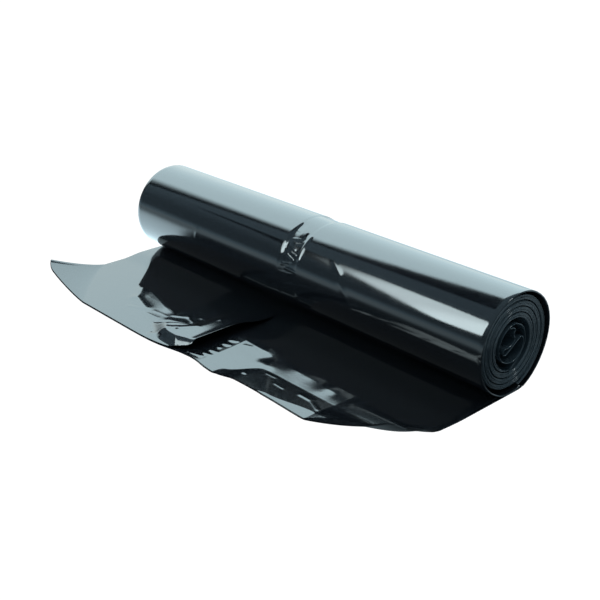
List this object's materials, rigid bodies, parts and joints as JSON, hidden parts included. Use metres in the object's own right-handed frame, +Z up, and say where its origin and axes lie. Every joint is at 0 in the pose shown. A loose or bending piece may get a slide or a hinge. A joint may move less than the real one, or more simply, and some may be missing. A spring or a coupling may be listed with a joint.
{
  "type": "bin bag roll",
  "caption": "Coreless roll of black plastic bin bags, folded lengthwise and wound, with the loose end of the outer bag lying flat in front.",
  "frame": {"origin": "on the surface that the roll lies on, under the middle of the roll's axis", "axes": "+X along the roll, -Y towards the free end of the film, +Z up"},
  "size_m": [0.35, 0.1575, 0.0696],
  "materials": {
    "film": "glossy black film with fine creases"
  },
  "bodies": {
    "root": {"bag_roll": "film"}
  },
  "joints": []
}
